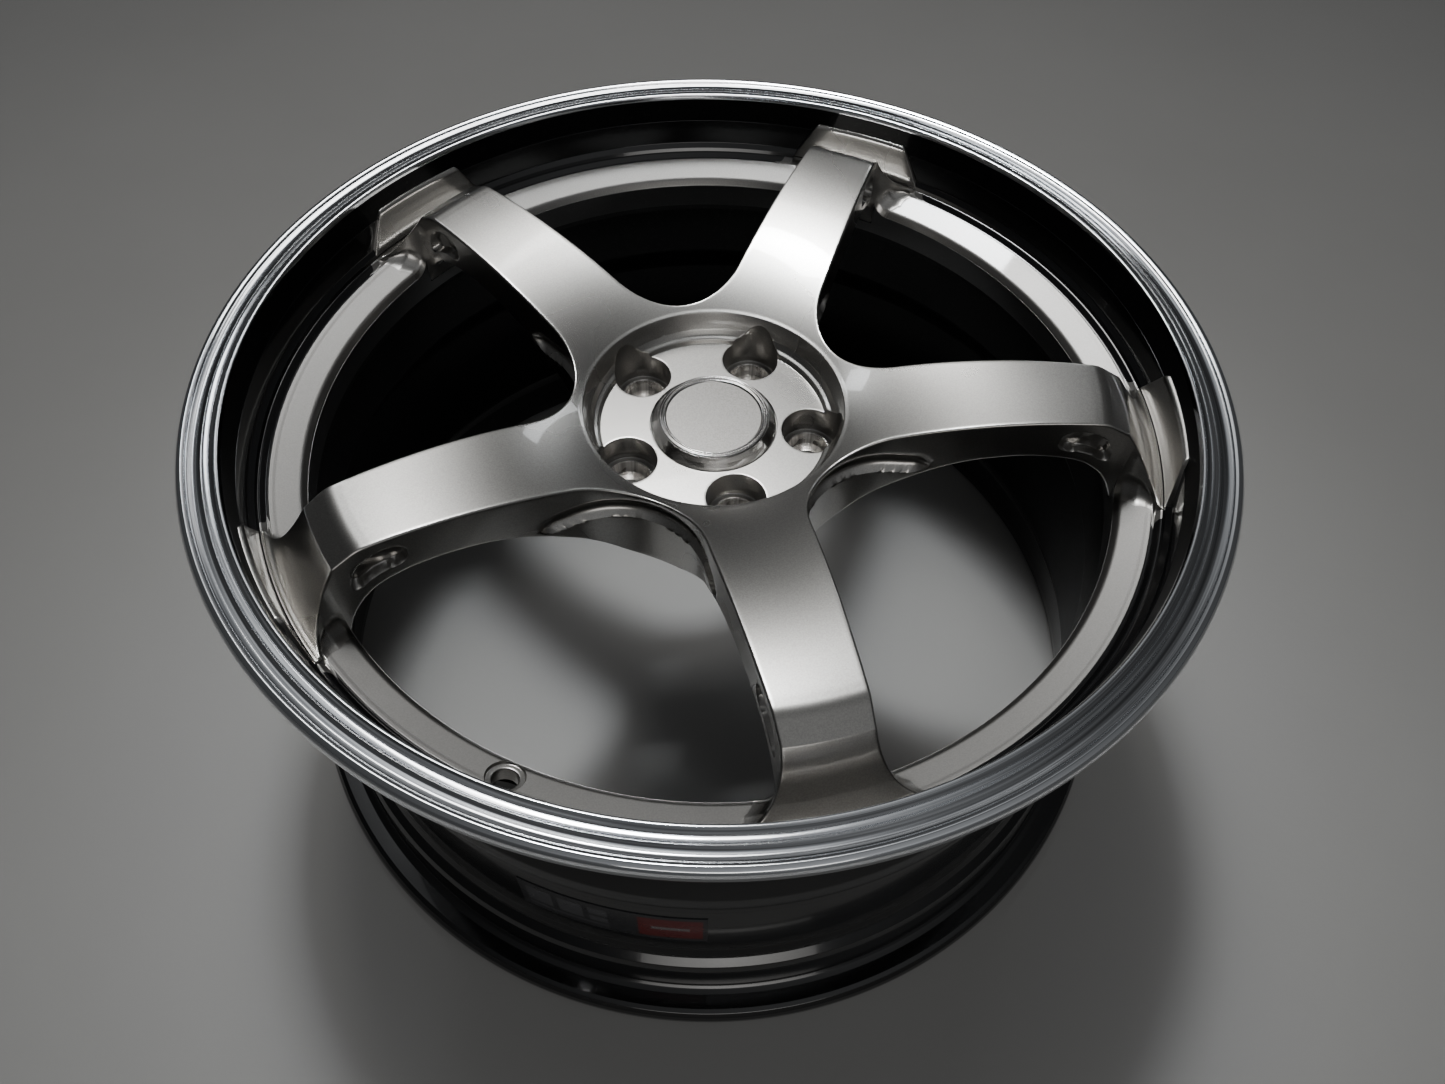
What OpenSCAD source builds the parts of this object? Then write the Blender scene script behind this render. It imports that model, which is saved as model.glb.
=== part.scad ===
// Forged racing wheel rim, 18 x 8.5J, five spokes, polished outer lip,
// loose centre cap.  Millimetres.  Origin: centre of the hub mounting face.
// +Z is the wheel axis, pointing out of the styled face.  Spoke 1 points to -Y.
// Profiles are given as [radius, depth below the outer flange plane].

/* [Rim] */
// Bead seat diameter of the 18 inch rim
rim_d = 462; // [461:0.1:463]
// Width between the two flanges (8.5J)
rim_w = 215.9; // [210:0.1:222]
// Height of the flanges above the bead seats
flange_h = 17.3; // [17:0.1:17.6]
// Axial thickness of each rolled flange
flange_t = 13; // [12.5:0.1:13.5]
// Offset of the mounting face from the rim's centre plane
offset_et = 40; // [38:0.5:42]

/* [Hub] */
// Centre bore diameter
bore_d = 73.1; // [72.5:0.05:74]
// Length of the centre bore wall
bore_l = 14; // [12:0.5:15]
// Bolt circle diameter
pcd = 100; // [99:0.5:101]
// Stud hole diameter
lug_hole_d = 15; // [14:0.1:15.5]
// Diameter of the nut pockets
nut_pocket_d = 29.8; // [28:0.1:30]
// Height of the nut pocket floor above the mounting face
nut_floor_z = 22.4; // [20:0.1:24]
// Outer diameter of the pressed-in nut seats
seat_d = 23.6; // [22:0.1:24]
// Diameter of the front bore that takes the centre cap
cap_bore_d = 60; // [59.8:0.1:61]

/* [Spokes] */
// Radius of the bent outer end of the spoke tops
knee_r = 186; // [185:0.5:187]
// Radius of the convex arc of the spoke tops
top_arc_r = 284; // [280:1:290]
// Half width of a spoke next to the hub webs
root_half_w = 24.3; // [23.5:0.1:25]
// Half width of a spoke at the knee
knee_half_w = 19.3; // [18.5:0.1:20]
// Radius of the web arc between two spokes
web_arc_r = 42.8; // [42:0.1:43.5]
// Depth of the slot milled under the web edge
web_slot_depth = 4.5; // [3:0.1:4.6]
// Height of the slot milled under the web edge
web_slot_h = 11; // [8:0.5:12]
// Radius of the flare where a spoke meets the rim
flare_r = 20; // [19:0.5:21]
// Half of the angle covered by a spoke foot
foot_half_a = 10.6; // [10.4:0.1:11]
// Length of the pocket in each spoke flank
flank_pocket_l = 30; // [20:1:32]
// Height of the pocket in each spoke flank
flank_pocket_h = 13.5; // [8:0.5:14]
// Depth of the pocket in each spoke flank
flank_pocket_t = 4; // [2:0.1:5]

/* [Valve hole] */
// Diameter of the valve hole
valve_d = 11.3; // [11.3:0.1:11.7]
// Length of the valve hole wall
valve_l = 6; // [5:0.5:7]

/* [Centre cap] */
// Diameter of the cap skirt
cap_d = 64.6; // [64:0.1:65]
// Diameter of the flat cap face
cap_face_d = 48.6; // [48:0.1:49]
// Outer diameter of the cap's clip legs
cap_leg_d = 59.2; // [59:0.1:59.4]

/* [Hidden] */
ring_fn = 72;
small_fn = 40;
spoke_count = 5;
spoke_step = 360 / spoke_count;
first_spoke_a = -90;
half_step = spoke_step / 2;

bead_r = rim_d / 2;
flange_r = bead_r + flange_h;
total_w = rim_w + 2 * flange_t;
face_z = total_w / 2 - offset_et;
bore_r = bore_d / 2;
cap_bore_r = cap_bore_d / 2;
lug_r = pcd / 2;
hub_r = 66;
pad_depth = 43.4;
pad_z = face_z - pad_depth;
cap_seat_z = pad_z - 1.6;
shoulder_z = bore_l + 6;
seat_floor_z = 10;
seat_cone_z = 13;

web_centre_r = 114.1;
web_x = web_centre_r * cos(half_step);
web_y = web_centre_r * sin(half_step);
web_slot_depth_top = 30;
flare_x = 197.5;
flank_pocket_x = 178;
flank_pocket_depth = 13;

well_r = 209;
wall_r = 223.8;
wall_in_r = 219.4;
window_r = 203.5;

valve_a = first_spoke_a - half_step;
valve_tilt = 21.5;
valve_r = 212.6;
valve_depth = 40.6;

cap_top_z = 41.6;
cap_face_r = cap_face_d / 2;
cap_bezel_r = 27.7;
leg_in_r = 27.6;
leg_count = 6;
leg_a = 24;

label_a = 233;
label_span = 24;

satin = [0.55, 0.54, 0.52];
polished = [0.86, 0.87, 0.88];
black = [0.05, 0.05, 0.055];
bare = [0.74, 0.73, 0.71];
label_grey = [0.16, 0.16, 0.17];

// Depth of the convex spoke top at a radius.
function top_depth(r) = 1.2 + top_arc_r - sqrt(pow(top_arc_r, 2) - pow(knee_r - r, 2));

// Turns [radius, depth] pairs into [radius, z] points.
function at_depth(points) = [for (p = points) [p[0], face_z - p[1]]];

function spoke_top() = [for (r = [hub_r : (knee_r - hub_r) / 9 : knee_r + 0.1]) [r, top_depth(r)]];

module turned(points) {
    rotate_extrude($fn = ring_fn) polygon(at_depth(points));
}

module at_lug(i) {
    rotate([0, 0, first_spoke_a + i * spoke_step]) translate([lug_r, 0, 0]) children();
}

// Centre of the forging: mounting face, centre bore, flat pad and nut pockets.
module hub_boss() {
    profile = concat(
        at_depth([[hub_r, top_depth(hub_r)], [65.4, 28.9], [64.8, 31], [64.2, 33],
                  [63.6, 35.5], [62.8, 37.8], [61.3, 39.5], [59.6, 40.4],
                  [58.9, 41.4], [58.6, 42.9], [58, pad_depth]]),
        [[33, pad_z], [33, cap_seat_z], [cap_bore_r, cap_seat_z],
         [cap_bore_r, shoulder_z], [bore_r + 0.9, shoulder_z - 1],
         [bore_r + 0.9, bore_l + 0.4], [bore_r, bore_l], [bore_r, 1],
         [bore_r + 1, 0], [hub_r, 0]]);
    color(satin) difference() {
        rotate_extrude($fn = ring_fn) polygon(profile);
        for (i = [0 : spoke_count - 1]) at_lug(i) {
            translate([0, 0, nut_floor_z]) cylinder(h = 60, d = nut_pocket_d, $fn = small_fn);
            translate([0, 0, seat_floor_z]) cylinder(h = 20, d = seat_d, $fn = small_fn);
            translate([0, 0, -1]) cylinder(h = 20, d = lug_hole_d, $fn = small_fn);
        }
    }
}

// Plan shape of one spoke, lying along +X, from the hub to the rim wall.
module spoke_plan() {
    near = 40;
    far = 232;
    vertex_r = web_centre_r - web_arc_r;
    side = [[near * cos(half_step), near * sin(half_step)],
            [vertex_r * cos(half_step), vertex_r * sin(half_step)],
            [web_x, root_half_w],
            [flare_x, knee_half_w],
            [flare_x + flare_r, knee_half_w + flare_r],
            [far * cos(foot_half_a), far * sin(foot_half_a)]];
    other = [for (i = [len(side) - 1 : -1 : 0]) [side[i][0], -side[i][1]]];
    difference() {
        polygon(concat(side, other));
        for (s = [-1, 1]) {
            translate([web_x, s * web_y]) circle(r = web_arc_r, $fn = ring_fn);
            translate([flare_x, s * (knee_half_w + flare_r)]) circle(r = flare_r, $fn = small_fn);
        }
    }
}

// Radial section of a spoke: convex top, knee, drop face, valley, foot, back.
function spoke_section() = concat(
    spoke_top(),
    [[190, 2.3], [193.6, 4.3], [196.6, 5.9], [199.1, 7.25],
     [203.4, 12.8], [208.2, 19.2], [212.6, 25.4], [216, 29.6],
     [218.2, 31.8], [221, 33.6], [223.6, 34.8],
     [224.2, 33.2], [224.9, 24], [225.3, 17], [225.8, 14.4], [226.6, 12.7], [227.67, 12],
     [227.2, 15], [226.9, 16], [226.9, 30.8], [224.4, 33.4], [223.6, 34.9], [223.6, 35.2],
     [219, 37.6], [205.8, 42.8], [204.2, 43.9], [window_r, 46], [window_r, 54],
     [199, 44.5], [192, 35.5], [184, 30], [172, 27], [160, 26.6],
     [147, 28], [134, 31], [121, 36], [108, 43.5], [95, 53],
     [82, 64], [74, 71.5], [hub_r, 77]]);

module stadium(l, h) {
    translate([-(l - h) / 2, 0]) circle(d = h, $fn = small_fn);
    translate([(l - h) / 2, 0]) circle(d = h, $fn = small_fn);
    square([l - h, h], center = true);
}

module spoke(i) {
    slot_z = face_z - web_slot_depth_top - web_slot_h;
    pocket_z = face_z - flank_pocket_depth;
    flank_w = knee_half_w + (root_half_w - knee_half_w) * (flare_x - flank_pocket_x) / (flare_x - web_x);
    color(satin) rotate([0, 0, first_spoke_a + i * spoke_step]) difference() {
        intersection() {
            rotate([0, 0, -half_step])
                rotate_extrude(angle = spoke_step, $fn = ring_fn) polygon(at_depth(spoke_section()));
            linear_extrude(face_z + 5) spoke_plan();
        }
        for (s = [-1, 1]) {
            translate([web_x, s * web_y, slot_z])
                cylinder(h = web_slot_h, r = web_arc_r + web_slot_depth, $fn = ring_fn);
            translate([flank_pocket_x, s * (flank_w + 5 - flank_pocket_t), pocket_z])
                rotate([90, 0, 0])
                    translate([0, 0, -5])
                        linear_extrude(10) stadium(flank_pocket_l, flank_pocket_h);
        }
    }
}

module spoke_1() { spoke(0); }
module spoke_2() { spoke(1); }
module spoke_3() { spoke(2); }
module spoke_4() { spoke(3); }
module spoke_5() { spoke(4); }

// Sloping ring that closes the windows and carries the valve hole.
module window_ring() {
    color(satin) difference() {
        turned([[223.6, 35.2], [227.5, 43.9], [well_r, 60.5], [window_r, 60.5],
                [window_r, 46], [204.2, 43.9], [205.8, 42.8], [219, 37.6]]);
        rotate([0, 0, valve_a]) translate([valve_r, 0, face_z - valve_depth])
            rotate([0, -valve_tilt, 0]) {
                translate([0, 0, -20]) cylinder(h = 40, d = valve_d, $fn = small_fn);
                translate([0, 0, -1]) cylinder(h = 10, d = 17, $fn = small_fn);
                translate([0, 0, -21 - valve_l]) cylinder(h = 20, d = 19, $fn = small_fn);
            }
    }
}

// Front bead seat with its hump, behind the polished lip.
module outer_bead_seat() {
    color(black) turned([[227.2, 15], [bead_r + 1.4, 15], [bead_r + 0.7, 18.5],
        [bead_r - 0.8, 33.5], [bead_r + 0.2, 36.5], [bead_r + 0.2, 39],
        [229.6, 42], [227.5, 43.9], [223.6, 35.2], [223.6, 34.9],
        [224.4, 33.4], [226.9, 30.8], [226.9, 16]]);
}

// Polished outer flange: inner ridge, grooves, shallow dish and rolled bead.
module outer_lip() {
    color(polished) turned([[227.2, 15], [228.3, 8], [229, 3.2], [229.4, 1.3], [230, 0.5],
        [230.9, 0.4], [231.7, 1], [233.2, 1.1], [233.8, 1.8], [234.4, 1.1],
        [236, 0.9], [236.7, 1.6], [238.4, 2.4], [240.6, 2.4], [242.4, 1.6],
        [243, 0.9], [243.4, 1.6], [243.9, 0.4], [245.3, 0], [246.8, 0.5],
        [247.9, 1.9], [flange_r, 3.9], [flange_r, 6.8], [247.6, 9.6],
        [246, 12], [243.8, flange_t], [bead_r + 5.6, flange_t],
        [bead_r + 3, 13.7], [bead_r + 1.4, 15]]);
}

// Drop well and the slope up to the barrel wall.
module drop_well() {
    color(black) turned([[window_r, 60.5], [well_r, 60.5], [well_r, 97], [210.6, 99.6],
        [221.8, 116.8], [wall_r, 122], [wall_in_r, 122], [217.6, 117.6],
        [206, 100.4], [204.4, 97], [204, 64]]);
}

// Long barrel wall behind the well.
module barrel_wall() {
    color(black) turned([[wall_in_r, 122], [wall_r, 122], [wall_r, 190], [225.6, 195],
        [225.6, 200], [221, 200], [wall_in_r, 194]]);
}

// Rear hump, bead seat and flange, on which the wheel lies.
module inner_flange() {
    color(black) turned([[221, 200], [225.6, 200], [229.4, 203], [bead_r + 0.2, 205.6],
        [bead_r + 0.2, 208], [bead_r - 0.8, 210.6], [bead_r + 0.7, 223.4],
        [bead_r + 1.4, 226.8], [bead_r + 3, 228.2], [bead_r + 5.6, total_w - flange_t],
        [243.8, total_w - flange_t], [246, 229.9], [247.6, 232.3], [flange_r, 235.2],
        [flange_r, 238.2], [247.2, 240.6], [245, total_w], [232, total_w],
        [228.8, 241], [227, 238.5], [226.4, 232], [225.8, 212], [223.6, 205]]);
}

// Bare metal cone seat pressed into a nut pocket.
module lug_seat(i) {
    color(bare) at_lug(i) rotate_extrude($fn = small_fn)
        polygon([[lug_hole_d / 2, seat_floor_z], [seat_d / 2, seat_floor_z],
                 [seat_d / 2, nut_floor_z + 0.8], [seat_d / 2 - 0.6, nut_floor_z + 1.2],
                 [seat_d / 2 - 1, nut_floor_z + 0.8], [10.7, 22], [9.6, 16.6],
                 [lug_hole_d / 2, seat_cone_z]]);
}

module lug_seat_1() { lug_seat(0); }
module lug_seat_2() { lug_seat(1); }
module lug_seat_3() { lug_seat(2); }
module lug_seat_4() { lug_seat(3); }
module lug_seat_5() { lug_seat(4); }

// Cap body: sloping skirt, top plate and six clip legs with snap beads.
module cap_shell() {
    color(satin) union() {
        rotate_extrude($fn = ring_fn)
            polygon([[0, cap_top_z], [cap_bezel_r, cap_top_z], [cap_bezel_r, cap_top_z + 1.4],
                     [28.2, cap_top_z + 1.4], [28.9, 42.2], [30.1, 40.4], [31.5, 38.6],
                     [cap_d / 2, 37.5], [cap_d / 2, cap_seat_z], [leg_in_r, cap_seat_z],
                     [leg_in_r, 38.2], [26, 39.6], [0, 39.6]]);
        for (i = [0 : leg_count - 1]) rotate([0, 0, i * 360 / leg_count])
            rotate_extrude(angle = leg_a, $fn = ring_fn)
                polygon([[leg_in_r, cap_seat_z + 0.4], [cap_leg_d / 2, cap_seat_z + 0.4],
                         [cap_leg_d / 2, 20.2], [cap_leg_d / 2 + 0.2, 19.2],
                         [cap_leg_d / 2, 17.8], [28.6, 15.8], [leg_in_r, 15.8]]);
    }
}

// Stepped bright ring round the cap face.
module cap_bezel() {
    color(polished) rotate_extrude($fn = ring_fn)
        polygon([[cap_face_r, cap_top_z], [cap_bezel_r, cap_top_z], [cap_bezel_r, 43.1],
                 [27.2, 43.4], [26.7, 43], [26.2, 42.6], [25.7, 43.1], [25.1, 43.3],
                 [24.6, 43], [cap_face_r, 42.6]]);
}

// Plain flat disc in the middle of the cap.
module cap_face() {
    color(satin) translate([0, 0, cap_top_z]) cylinder(h = 0.8, r = cap_face_r, $fn = ring_fn);
}

// Wire ring that presses the clip legs outwards.
module cap_spring() {
    wire_r = 0.7;
    color(bare) translate([0, 0, 18]) rotate_extrude($fn = ring_fn)
        translate([leg_in_r - wire_r, 0]) circle(r = wire_r, $fn = 16);
}

// Plain foil label on the barrel wall, without any lettering.
module barrel_label() {
    color(label_grey) rotate([0, 0, label_a]) rotate_extrude(angle = label_span, $fn = ring_fn)
        polygon(at_depth([[wall_r, 137], [wall_r + 0.4, 137], [wall_r + 0.4, 173], [wall_r, 173]]));
}

hub_boss();
spoke_1();
spoke_2();
spoke_3();
spoke_4();
spoke_5();
window_ring();
outer_bead_seat();
outer_lip();
drop_well();
barrel_wall();
inner_flange();
lug_seat_1();
lug_seat_2();
lug_seat_3();
lug_seat_4();
lug_seat_5();
cap_shell();
cap_bezel();
cap_face();
cap_spring();
barrel_label();
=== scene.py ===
"""Forged 18 x 8.5J racing wheel rim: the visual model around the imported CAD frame.

Lengths in the shape code are millimetres and become metres when a mesh is made.
Profiles are (radius, depth below the outer flange plane[, corner radius]).
"""
import math

import bmesh
import bpy
import numpy as np
from mathutils import Matrix, Vector


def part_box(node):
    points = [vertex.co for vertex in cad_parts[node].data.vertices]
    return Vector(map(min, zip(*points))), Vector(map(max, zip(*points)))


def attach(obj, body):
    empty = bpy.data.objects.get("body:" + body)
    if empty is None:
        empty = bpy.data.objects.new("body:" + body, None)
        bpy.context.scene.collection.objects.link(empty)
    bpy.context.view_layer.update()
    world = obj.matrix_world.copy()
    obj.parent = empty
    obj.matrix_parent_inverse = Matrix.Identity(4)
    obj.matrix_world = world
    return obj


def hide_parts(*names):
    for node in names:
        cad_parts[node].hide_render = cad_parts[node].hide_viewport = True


MM = 0.001
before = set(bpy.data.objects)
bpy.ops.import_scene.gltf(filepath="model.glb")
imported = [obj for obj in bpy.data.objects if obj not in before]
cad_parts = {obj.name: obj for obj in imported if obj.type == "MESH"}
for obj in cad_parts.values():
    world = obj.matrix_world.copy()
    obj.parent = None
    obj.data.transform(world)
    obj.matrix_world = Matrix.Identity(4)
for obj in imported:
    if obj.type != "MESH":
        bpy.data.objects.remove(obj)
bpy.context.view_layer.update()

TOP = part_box("outer_lip")[1].z / MM
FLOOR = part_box("inner_flange")[0].z
STEP = 72.0
HALF = STEP / 2
FIRST = -90.0
TURN_SEGMENTS = 288


# ---------------------------------------------------------------- helpers
def polar(r, a, z):
    """Points from radius, angle in degrees and height."""
    a = np.radians(a)
    return np.stack(np.broadcast_arrays(r * np.cos(a), r * np.sin(a), z), -1)


def rounded(points, n=5):
    """A polyline with each corner that has a radius replaced by an arc."""
    pts = [np.array(p[:2], float) for p in points]
    radii = [p[2] if len(p) > 2 else 0 for p in points]
    out = []
    for i, p in enumerate(pts):
        if radii[i] <= 0 or i in (0, len(pts) - 1):
            out.append(p)
            continue
        a, b = pts[i - 1] - p, pts[i + 1] - p
        la, lb = np.linalg.norm(a), np.linalg.norm(b)
        a, b = a / la, b / lb
        angle = math.acos(max(-1, min(1, float(a @ b))))
        if angle > math.pi - 0.02:
            out.append(p)
            continue
        t = min(radii[i] / math.tan(angle / 2), la * 0.49, lb * 0.49)
        r = t * math.tan(angle / 2)
        centre = p + (a + b) / np.linalg.norm(a + b) * r / math.sin(angle / 2)
        v0, v1, turn = p + a * t - centre, p + b * t - centre, math.pi - angle
        for k in range(n + 1):
            w = k / n
            out.append(centre + (math.sin((1 - w) * turn) * v0 + math.sin(w * turn) * v1) / math.sin(turn))
    return np.array(out)


def from_height(points):
    """A profile by height above the mounting face, turned into one by depth."""
    return [(r, TOP - z, *corner) for r, z, *corner in points]


def smooth01(x):
    """A smooth step from 0 to 1."""
    x = np.clip(x, 0, 1)
    return x * x * (3 - 2 * x)


def shade(mesh, angle):
    """Smooth shading, with edges sharper than the angle in degrees kept crisp."""
    mesh.polygons.foreach_set("use_smooth", [True] * len(mesh.polygons))
    mesh.set_sharp_from_angle(angle=math.radians(angle))
    mesh.update()


def make(name, verts, faces, angle=38, weld=0.004, paint=None):
    """One mesh object in metres from points in millimetres."""
    mesh = bpy.data.meshes.new(name)
    mesh.from_pydata((np.asarray(verts) * MM).tolist(), [], [tuple(f) for f in faces])
    if paint is not None:
        mesh.polygons.foreach_set("material_index", np.asarray(paint, dtype=np.int32))
    bm = bmesh.new()
    bm.from_mesh(mesh)
    bmesh.ops.remove_doubles(bm, verts=bm.verts, dist=weld * MM)
    bmesh.ops.dissolve_degenerate(bm, dist=1e-7, edges=bm.edges)
    bm.to_mesh(mesh)
    bm.free()
    shade(mesh, angle)
    obj = bpy.data.objects.new(name, mesh)
    bpy.context.scene.collection.objects.link(obj)
    return obj


class Shell:
    """Grids of points, each turned to face a given way, welded into one mesh."""

    def __init__(self):
        self.verts, self.faces, self.paint, self.count = [], [], [], 0

    def grid(self, p, facing, paint=0):
        p = np.asarray(p, float)
        rows, cols = p.shape[:2]
        index = np.arange(rows * cols).reshape(rows, cols)
        quads = np.stack([index[:-1, :-1], index[1:, :-1], index[1:, 1:], index[:-1, 1:]], -1).reshape(-1, 4)
        flat = p.reshape(-1, 3)
        normal = np.cross(flat[quads[:, 2]] - flat[quads[:, 0]], flat[quads[:, 3]] - flat[quads[:, 1]])
        facing = np.asarray(facing, float)
        if facing.ndim > 1:
            facing = ((facing[:-1, :-1] + facing[1:, 1:]) / 2).reshape(-1, 3)
        if (normal * facing).sum() < 0:
            quads = quads[:, ::-1]
        self.verts.append(flat)
        self.faces.append(quads + self.count)
        self.paint.append(np.broadcast_to(paint, (rows - 1, cols - 1)).reshape(-1))
        self.count += len(flat)

    def build(self, name, angle=38):
        return make(name, np.concatenate(self.verts), np.concatenate(self.faces), angle,
                    paint=np.concatenate(self.paint))

    def add(self, other, places):
        """The grids of another shell, mirrored across X when the side is -1 and turned round Z."""
        for p, f, m in zip(other.verts, other.faces, other.paint):
            start = f.min()
            for side, a in places:
                c, s = math.cos(math.radians(a)), math.sin(math.radians(a))
                q = p * (1, side, 1)
                q = np.stack([q[:, 0] * c - q[:, 1] * s, q[:, 0] * s + q[:, 1] * c, q[:, 2]], -1)
                g = f - start if side > 0 else (f - start)[:, ::-1]
                self.verts.append(q)
                self.faces.append(g + self.count)
                self.paint.append(m)
                self.count += len(q)


def turned(name, profile, start=0.0, span=360.0, segments=TURN_SEGMENTS, angle=38):
    """A solid of revolution from a closed profile of (radius, depth) points."""
    p = np.asarray(profile, float)
    full = abs(span - 360) < 1e-6
    n = segments if full else max(2, int(segments * span / 360))
    a = start + np.arange(n if full else n + 1) * span / n
    verts = polar(p[None, :, 0], a[:, None], TOP - p[None, :, 1]).reshape(-1, 3)
    m = len(p)
    faces = []
    area = sum(p[i - 1, 0] * p[i, 1] - p[i, 0] * p[i - 1, 1] for i in range(m))
    for i in range(n):
        j = (i + 1) % n if full else i + 1
        for k in range(m):
            q = (k + 1) % m
            f = (i * m + k, i * m + q, j * m + q, j * m + k)
            faces.append(f if area > 0 else f[::-1])
    if not full:
        cap = tuple(range(m))
        faces += [cap if area < 0 else cap[::-1], tuple(n * m + k for k in (cap[::-1] if area < 0 else cap))]
    return make(name, verts, faces, angle)


# ---------------------------------------------------------------- profiles
ARC_R, KNEE_R = 284.0, 184.0
FOOT_END, RIM_WALL_START = 224.05, 215.0


def arc_depth(r):
    """Depth of the long arc on top of a spoke."""
    return 1.2 + ARC_R - np.sqrt(ARC_R**2 - (KNEE_R + 2 - r) ** 2)


RECESS = [(33, 43.4), (33.6, 43.4), (57.6, 43.4), (58.4, 43.4, 0.8), (58.9, 40.7, 1.1), (61.3, 39.8, 1.6),
          (63.2, 37.2, 2.2), (64.2, 33.0), (65.8, 27.7, 0.8), (67.6, float(arc_depth(67.6)))]
FOOT = [(181, 1.24), (187.4, 1.3, 17), (199.1, 7.3, 1.3), (213.6, 26.6, 16), (219.5, 33.3, 14), (222.3, 34.2),
        (222.5, 34.8), (222.75, 34.3), (223.5, 34.5), (223.75, 35.15), (FOOT_END, 34.4)]
PAD = [(FOOT_END, 34.4), (224.25, 32.6, 0.6), (224.9, 24), (225.3, 17), (225.5, 12.1, 4.0), (230.6, 11.8)]
VALVE_AT, VALVE_TILT = (212.6, 40.6), math.radians(21.5)
VALVE_R, VALVE_SINK = 5.65, 8.5
RING_R, RING_LOW = 203.5, 60.5
RING = [(223.6, 35.3), (222.9, 35.6, 0.5), (220.7, 37.8, 1.5), (219.75, 38.2, 0.25), (219.2, 37.6, 0.35),
        (205.8, 42.8, 3.2), (RING_R, 46.4, 2.4), (RING_R, RING_LOW)]
BACK = [(66, 77.0), (74, 71.5), (82, 64), (95, 53), (108, 43.5), (121, 36), (134, 31), (147, 28), (160, 26.6),
        (172, 27), (184, 30), (192, 35.5), (199, 44.5), (203.5, 54)]


def resample(points, count):
    """A smooth curve through points, for the parts without hard corners."""
    p = np.asarray(points, float)
    t = np.concatenate([[0], np.cumsum(np.linalg.norm(np.diff(p, axis=0), axis=1))])
    tangent = np.gradient(p, t, axis=0)
    u = np.linspace(0, t[-1], count)
    i = np.clip(np.searchsorted(t, u, side="right") - 1, 0, len(t) - 2)
    h = (t[i + 1] - t[i])[:, None]
    s = ((u - t[i]) / (t[i + 1] - t[i]))[:, None]
    return ((2 * s**3 - 3 * s**2 + 1) * p[i] + (s**3 - 2 * s**2 + s) * h * tangent[i]
            + (-2 * s**3 + 3 * s**2) * p[i + 1] + (s**3 - s**2) * h * tangent[i + 1])


BACK_CURVE = resample(BACK, 240)
ARC_PART = np.array([(r, float(arc_depth(r))) for r in np.arange(69, 179.5, 1.0)])
TOP_CURVE = np.concatenate([rounded(RECESS, 6)[-1:], ARC_PART, rounded(FOOT, 10)])
RING_CURVE = rounded(RING, 6)


def depth_of(curve, r):
    """Depth of a profile at radius r."""
    order = np.argsort(curve[:, 0], kind="stable")
    return np.interp(r, curve[order, 0], curve[order, 1])


# ---------------------------------------------------------------- plan outline of half a window
WEB_C = np.array([114.1 * math.cos(math.radians(HALF)), 114.1 * math.sin(math.radians(HALF))])
WEB_R = 42.8
FLARE_C, FLARE_R = np.array([197.5, 39.3]), 20.0
PAD_DIR = np.array([0.9522, 0.3055])
CORNER_R = 2.6
EDGE, BACK_EDGE = 1.2, 2.2
WEB_END_X, SLOT_END_X = 91, 108


def outline():
    """Points along the window edge from the web to the rim wall, with the normals into the metal."""
    d = FLARE_C - WEB_C
    slope = math.atan2(d[1], d[0]) + math.asin((WEB_R - FLARE_R) / np.linalg.norm(d))
    low = slope - math.pi / 2
    inward_line = np.array([PAD_DIR[1], -PAD_DIR[0]])
    q = FLARE_C + (FLARE_R, 0) + CORNER_R * inward_line - FLARE_C
    b, c = q @ PAD_DIR, q @ q - (FLARE_R + CORNER_R) ** 2
    corner = FLARE_C + q + (-b + math.sqrt(b * b - c)) * PAD_DIR
    reach = corner - FLARE_C
    end = math.atan2(reach[1], reach[0])

    def arc(centre, radius, a0, a1, sign, n):
        a = np.linspace(a0, a1, n)
        u = np.stack([np.cos(a), np.sin(a)], -1)
        return centre + radius * u, sign * u

    parts = [arc(WEB_C, WEB_R, math.radians(180 + HALF), 2 * math.pi + low, 1, 1200)]
    t1 = WEB_C + WEB_R * np.array([math.cos(low), math.sin(low)])
    t2 = FLARE_C + FLARE_R * np.array([math.cos(low), math.sin(low)])
    w = np.linspace(0, 1, 2400)[1:-1, None]
    parts.append((t1 + (t2 - t1) * w, np.tile([math.cos(low), math.sin(low)], (len(w), 1))))
    parts.append(arc(FLARE_C, FLARE_R, low, end, 1, 900))
    side = math.atan2(-inward_line[1], -inward_line[0])
    parts.append(arc(corner, CORNER_R, end + math.pi, side, -1, 200))
    t3 = corner - CORNER_R * inward_line
    w = np.linspace(0, 8, 300)[1:, None]
    parts.append((t3 + PAD_DIR * w, np.tile(inward_line, (len(w), 1))))
    pts = np.concatenate([p for p, _ in parts])
    nrm = np.concatenate([n for _, n in parts])
    s = np.concatenate([[0], np.cumsum(np.linalg.norm(np.diff(pts, axis=0), axis=1))])
    keep = np.concatenate([[True], np.diff(s) > 1e-6])
    return s[keep], pts[keep], nrm[keep]


OUT_S, OUT_P, OUT_N = outline()


def at_s(s):
    """Point and normal on the window edge at length s along it."""
    p = np.stack([np.interp(s, OUT_S, OUT_P[:, i]) for i in (0, 1)], -1)
    n = np.stack([np.interp(s, OUT_S, OUT_N[:, i]) for i in (0, 1)], -1)
    return p, n / np.linalg.norm(n, axis=1, keepdims=True)


def s_at_x(x):
    """Length along the window edge of its point nearest to x."""
    return float(OUT_S[np.argmin(np.abs(OUT_P[:, 0] - x))])


def s_at_radius(r, inset):
    """Length along the window edge, moved into the metal by the inset, at which it reaches radius r."""
    radius = np.linalg.norm(OUT_P + inset * OUT_N, axis=1)
    radius = np.maximum.accumulate(radius)
    return np.interp(r, radius, OUT_S)


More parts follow.
